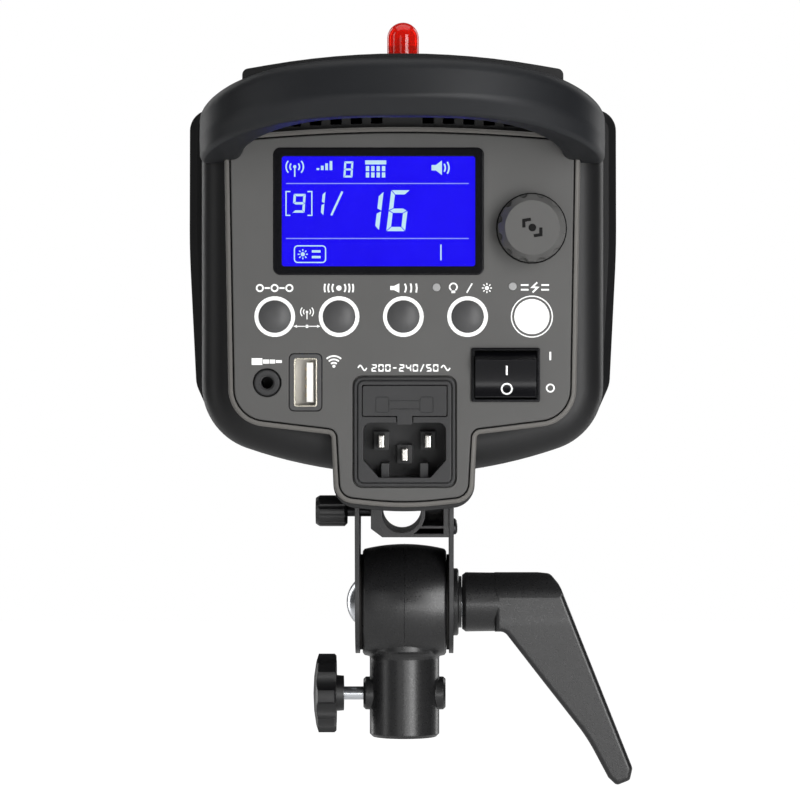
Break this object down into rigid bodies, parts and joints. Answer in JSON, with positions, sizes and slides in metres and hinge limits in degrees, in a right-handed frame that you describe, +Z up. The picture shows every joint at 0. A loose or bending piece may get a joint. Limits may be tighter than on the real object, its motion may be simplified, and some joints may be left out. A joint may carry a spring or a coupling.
{
  "type": "monolight strobe",
  "caption": "Studio flash head with rear control panel, carry handle, front accessory ring, tilting yoke and stand socket.",
  "frame": {"origin": "centre of the stand socket's mouth, on the socket's axis", "axes": "+Z up along the socket, +Y along the light's direction, +X to the right of a person reading the rear panel"},
  "size_m": [0.1458, 0.3741, 0.2461],
  "materials": {
    "casing_black": "fine moulded texture, satin",
    "side_black": "moulded texture, satin",
    "handle_black": "soft-touch rubberised coating",
    "panel_grey": "satin grey with fine grain",
    "housing_metal": "powder-coated aluminium",
    "ring_metal": "turned and anodised",
    "dish_metal": "satin bright reflector",
    "bracket_steel": "black powder coat over steel",
    "cast_black": "black painted die casting, semi-gloss",
    "bright_steel": "nickel plated",
    "black_screws": "black zinc",
    "friction_fibre": "hard fibre disc",
    "knob_black": "moulded, semi-gloss",
    "gloss_black": "polished",
    "display_glass": "clear, polished",
    "display_blue": "lit blue display",
    "button_grey": "satin grey dome",
    "button_white": "lit translucent white",
    "light_grey": "translucent grey",
    "inlet_black": "moulded nylon",
    "plated_pins": "nickel plated",
    "usb_metal": "stamped tinned shell",
    "dome_red": "translucent red, polished",
    "sensor_dark": "dark epoxy",
    "tube_glass": "frosted quartz glass",
    "bulb_glass": "clear glass",
    "ceramic_white": "glazed ceramic",
    "board_green": "solder mask",
    "capacitor_blue": "shrink sleeve",
    "core_steel": "laminated core",
    "fan_black": "moulded"
  },
  "bodies": {
    "stand_adapter": {"stand_socket": "cast_black", "socket_set_screw": "bright_steel"},
    "stand_lock_tip": {"stand_lock_tip": "plated_pins"},
    "stand_lock": {"stand_lock_screw": "bright_steel", "stand_lock_knob": "knob_black"},
    "lamp": {"yoke_bracket": "bracket_steel", "tilt_bolt": "bright_steel", "friction_discs": "friction_fibre", "lever_washer": "cast_black", "umbrella_block": "cast_black", "main_housing": "housing_metal", "rear_cover": "casing_black", "side_cover_left": "side_black", "side_cover_right": "side_black", "top_cover": "casing_black", "slave_dome": "dome_red", "slave_sensor": "sensor_dark", "front_cover": "casing_black", "mount_ring": "ring_metal", "carry_handle": "handle_black", "case_screws": "black_screws", "control_panel": "panel_grey", "lcd_frame": "gloss_black", "lcd_window": "display_glass", "lcd_module": "display_blue", "control_board": "board_green", "button_switches": "knob_black", "encoder_body": "knob_black", "status_light_pipes": "light_grey", "power_switch_body": "gloss_black", "inlet_body": "inlet_black", "inlet_pins": "plated_pins", "usb_port": "usb_metal", "sync_jack": "inlet_black", "reflector_dish": "dish_metal", "flash_tube": "tube_glass", "tube_posts": "ceramic_white", "lamp_socket": "ceramic_white", "modelling_bulb": "bulb_glass", "flash_capacitors": "capacitor_blue", "power_board": "board_green", "transformer": "core_steel", "fan_frame": "fan_black"},
    "tilt_lever": {"tilt_lever": "cast_black"},
    "umbrella_tip": {"umbrella_tip": "plated_pins"},
    "umbrella_lock": {"umbrella_screw": "black_screws", "umbrella_knob": "knob_black"},
    "release_slider": {"release_slider": "knob_black"},
    "fan": {"fan_rotor": "fan_black"},
    "dial_push": {"encoder_plunger": "plated_pins"},
    "dial": {"dial_shaft": "plated_pins", "dial_knob": "panel_grey"},
    "power_rocker": {"power_rocker": "gloss_black"},
    "fuse_drawer": {"fuse_drawer": "inlet_black", "mains_fuse": "bulb_glass"},
    "button_group": {"button_group": "button_grey"},
    "button_cell": {"button_cell": "button_grey"},
    "button_buzzer": {"button_buzzer": "button_grey"},
    "button_lamp": {"button_lamp": "button_grey"},
    "button_test": {"button_test": "button_white"}
  },
  "joints": [
    {"name": "lamp_tilt", "type": "hinge", "parent": "stand_adapter", "child": "lamp", "pos_m": [0, 0, 0.0448], "axis": [1, 0, 0], "range_deg": [-90, 90]},
    {"name": "stand_lock_travel", "type": "slide", "parent": "stand_adapter", "child": "stand_lock_tip", "axis": [1, 0, 0], "range_m": [-0.0016, 0.0048]},
    {"name": "stand_lock_turn", "type": "hinge", "parent": "stand_lock_tip", "child": "stand_lock", "pos_m": [-0.026, 0, 0.0144], "axis": [1, 0, 0], "range_deg": [-721, 2161]},
    {"name": "tilt_lever_turn", "type": "hinge", "parent": "lamp", "child": "tilt_lever", "pos_m": [0.03, 0, 0.0448], "axis": [1, 0, 0], "range_deg": [0, 90]},
    {"name": "umbrella_lock_travel", "type": "slide", "parent": "lamp", "child": "umbrella_tip", "axis": [1, 0, 0], "range_m": [-0.0007, 0.00245]},
    {"name": "umbrella_lock_turn", "type": "hinge", "parent": "umbrella_tip", "child": "umbrella_lock", "pos_m": [-0.024, 0, 0.0752], "axis": [1, 0, 0], "range_deg": [-361, 1261]},
    {"name": "release_slide", "type": "slide", "parent": "lamp", "child": "release_slider", "axis": [0, -1, 0], "range_m": [0, 0.002], "stiffness_N_per_m": 800, "springref_m": -0.001},
    {"name": "fan_spin", "type": "hinge", "parent": "lamp", "child": "fan", "pos_m": [0, -0.088, 0.148], "axis": [0, 1, 0], "continuous": true},
    {"name": "dial_press", "type": "slide", "parent": "lamp", "child": "dial_push", "axis": [0, 1, 0], "range_m": [0, 0.0006], "stiffness_N_per_m": 1500, "springref_m": -0.0003},
    {"name": "dial_turn", "type": "hinge", "parent": "dial_push", "child": "dial", "pos_m": [0.0385, -0.155, 0.1658], "axis": [0, 1, 0], "continuous": true},
    {"name": "power_rocker_tilt", "type": "hinge", "parent": "lamp", "child": "power_rocker", "pos_m": [0.0308, -0.1485, 0.12215], "axis": [1, 0, 0], "range_deg": [-26, 0]},
    {"name": "fuse_drawer_slide", "type": "slide", "parent": "lamp", "child": "fuse_drawer", "axis": [0, -1, 0], "range_m": [0, 0.02]},
    {"name": "button_group_press", "type": "slide", "parent": "lamp", "child": "button_group", "axis": [0, 1, 0], "range_m": [0, 0.0008], "stiffness_N_per_m": 1200, "springref_m": -0.0002},
    {"name": "button_cell_press", "type": "slide", "parent": "lamp", "child": "button_cell", "axis": [0, 1, 0], "range_m": [0, 0.0008], "stiffness_N_per_m": 1200, "springref_m": -0.0002},
    {"name": "button_buzzer_press", "type": "slide", "parent": "lamp", "child": "button_buzzer", "axis": [0, 1, 0], "range_m": [0, 0.0008], "stiffness_N_per_m": 1200, "springref_m": -0.0002},
    {"name": "button_lamp_press", "type": "slide", "parent": "lamp", "child": "button_lamp", "axis": [0, 1, 0], "range_m": [0, 0.0008], "stiffness_N_per_m": 1200, "springref_m": -0.0002},
    {"name": "button_test_press", "type": "slide", "parent": "lamp", "child": "button_test", "axis": [0, 1, 0], "range_m": [0, 0.0008], "stiffness_N_per_m": 1200, "springref_m": -0.0002}
  ],
  "couplings": [
    {"joint": "stand_lock_turn", "follows": "stand_lock_travel", "rad_per_m": 7854},
    {"joint": "umbrella_lock_turn", "follows": "umbrella_lock_travel", "rad_per_m": 8976}
  ]
}
